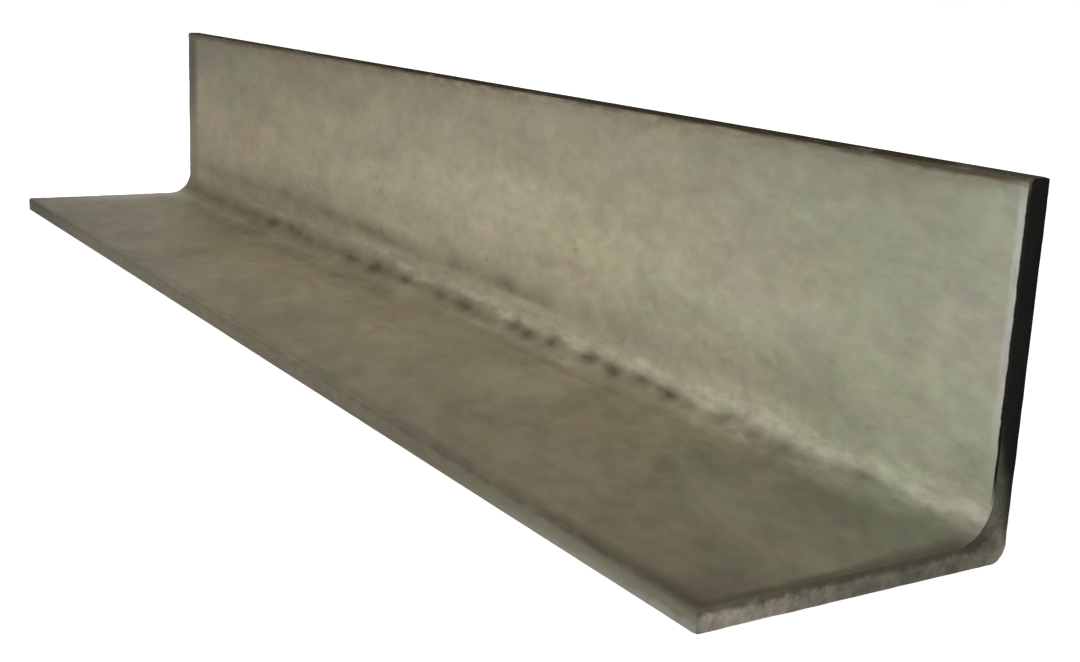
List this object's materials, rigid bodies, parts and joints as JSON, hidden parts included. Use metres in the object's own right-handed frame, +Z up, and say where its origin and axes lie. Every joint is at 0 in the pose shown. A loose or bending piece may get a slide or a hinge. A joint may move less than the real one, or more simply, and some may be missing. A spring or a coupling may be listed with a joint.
{
  "type": "metal angle section",
  "caption": "Cut length of equal-leg rolled steel angle with square toes, a round root and a softened heel, lying on one leg.",
  "frame": {"origin": "middle of the underside of the flat leg, which is the bottom centre of the bounding box", "axes": "+X along the bar, +Y towards the outer face of the standing leg, +Z up from the flat leg"},
  "size_m": [0.465, 0.075, 0.075],
  "materials": {
    "rolled_steel": "hot-rolled mill skin, dull olive grey, with dark cut ends"
  },
  "bodies": {
    "root": {"angle_section": "rolled_steel"}
  },
  "joints": []
}
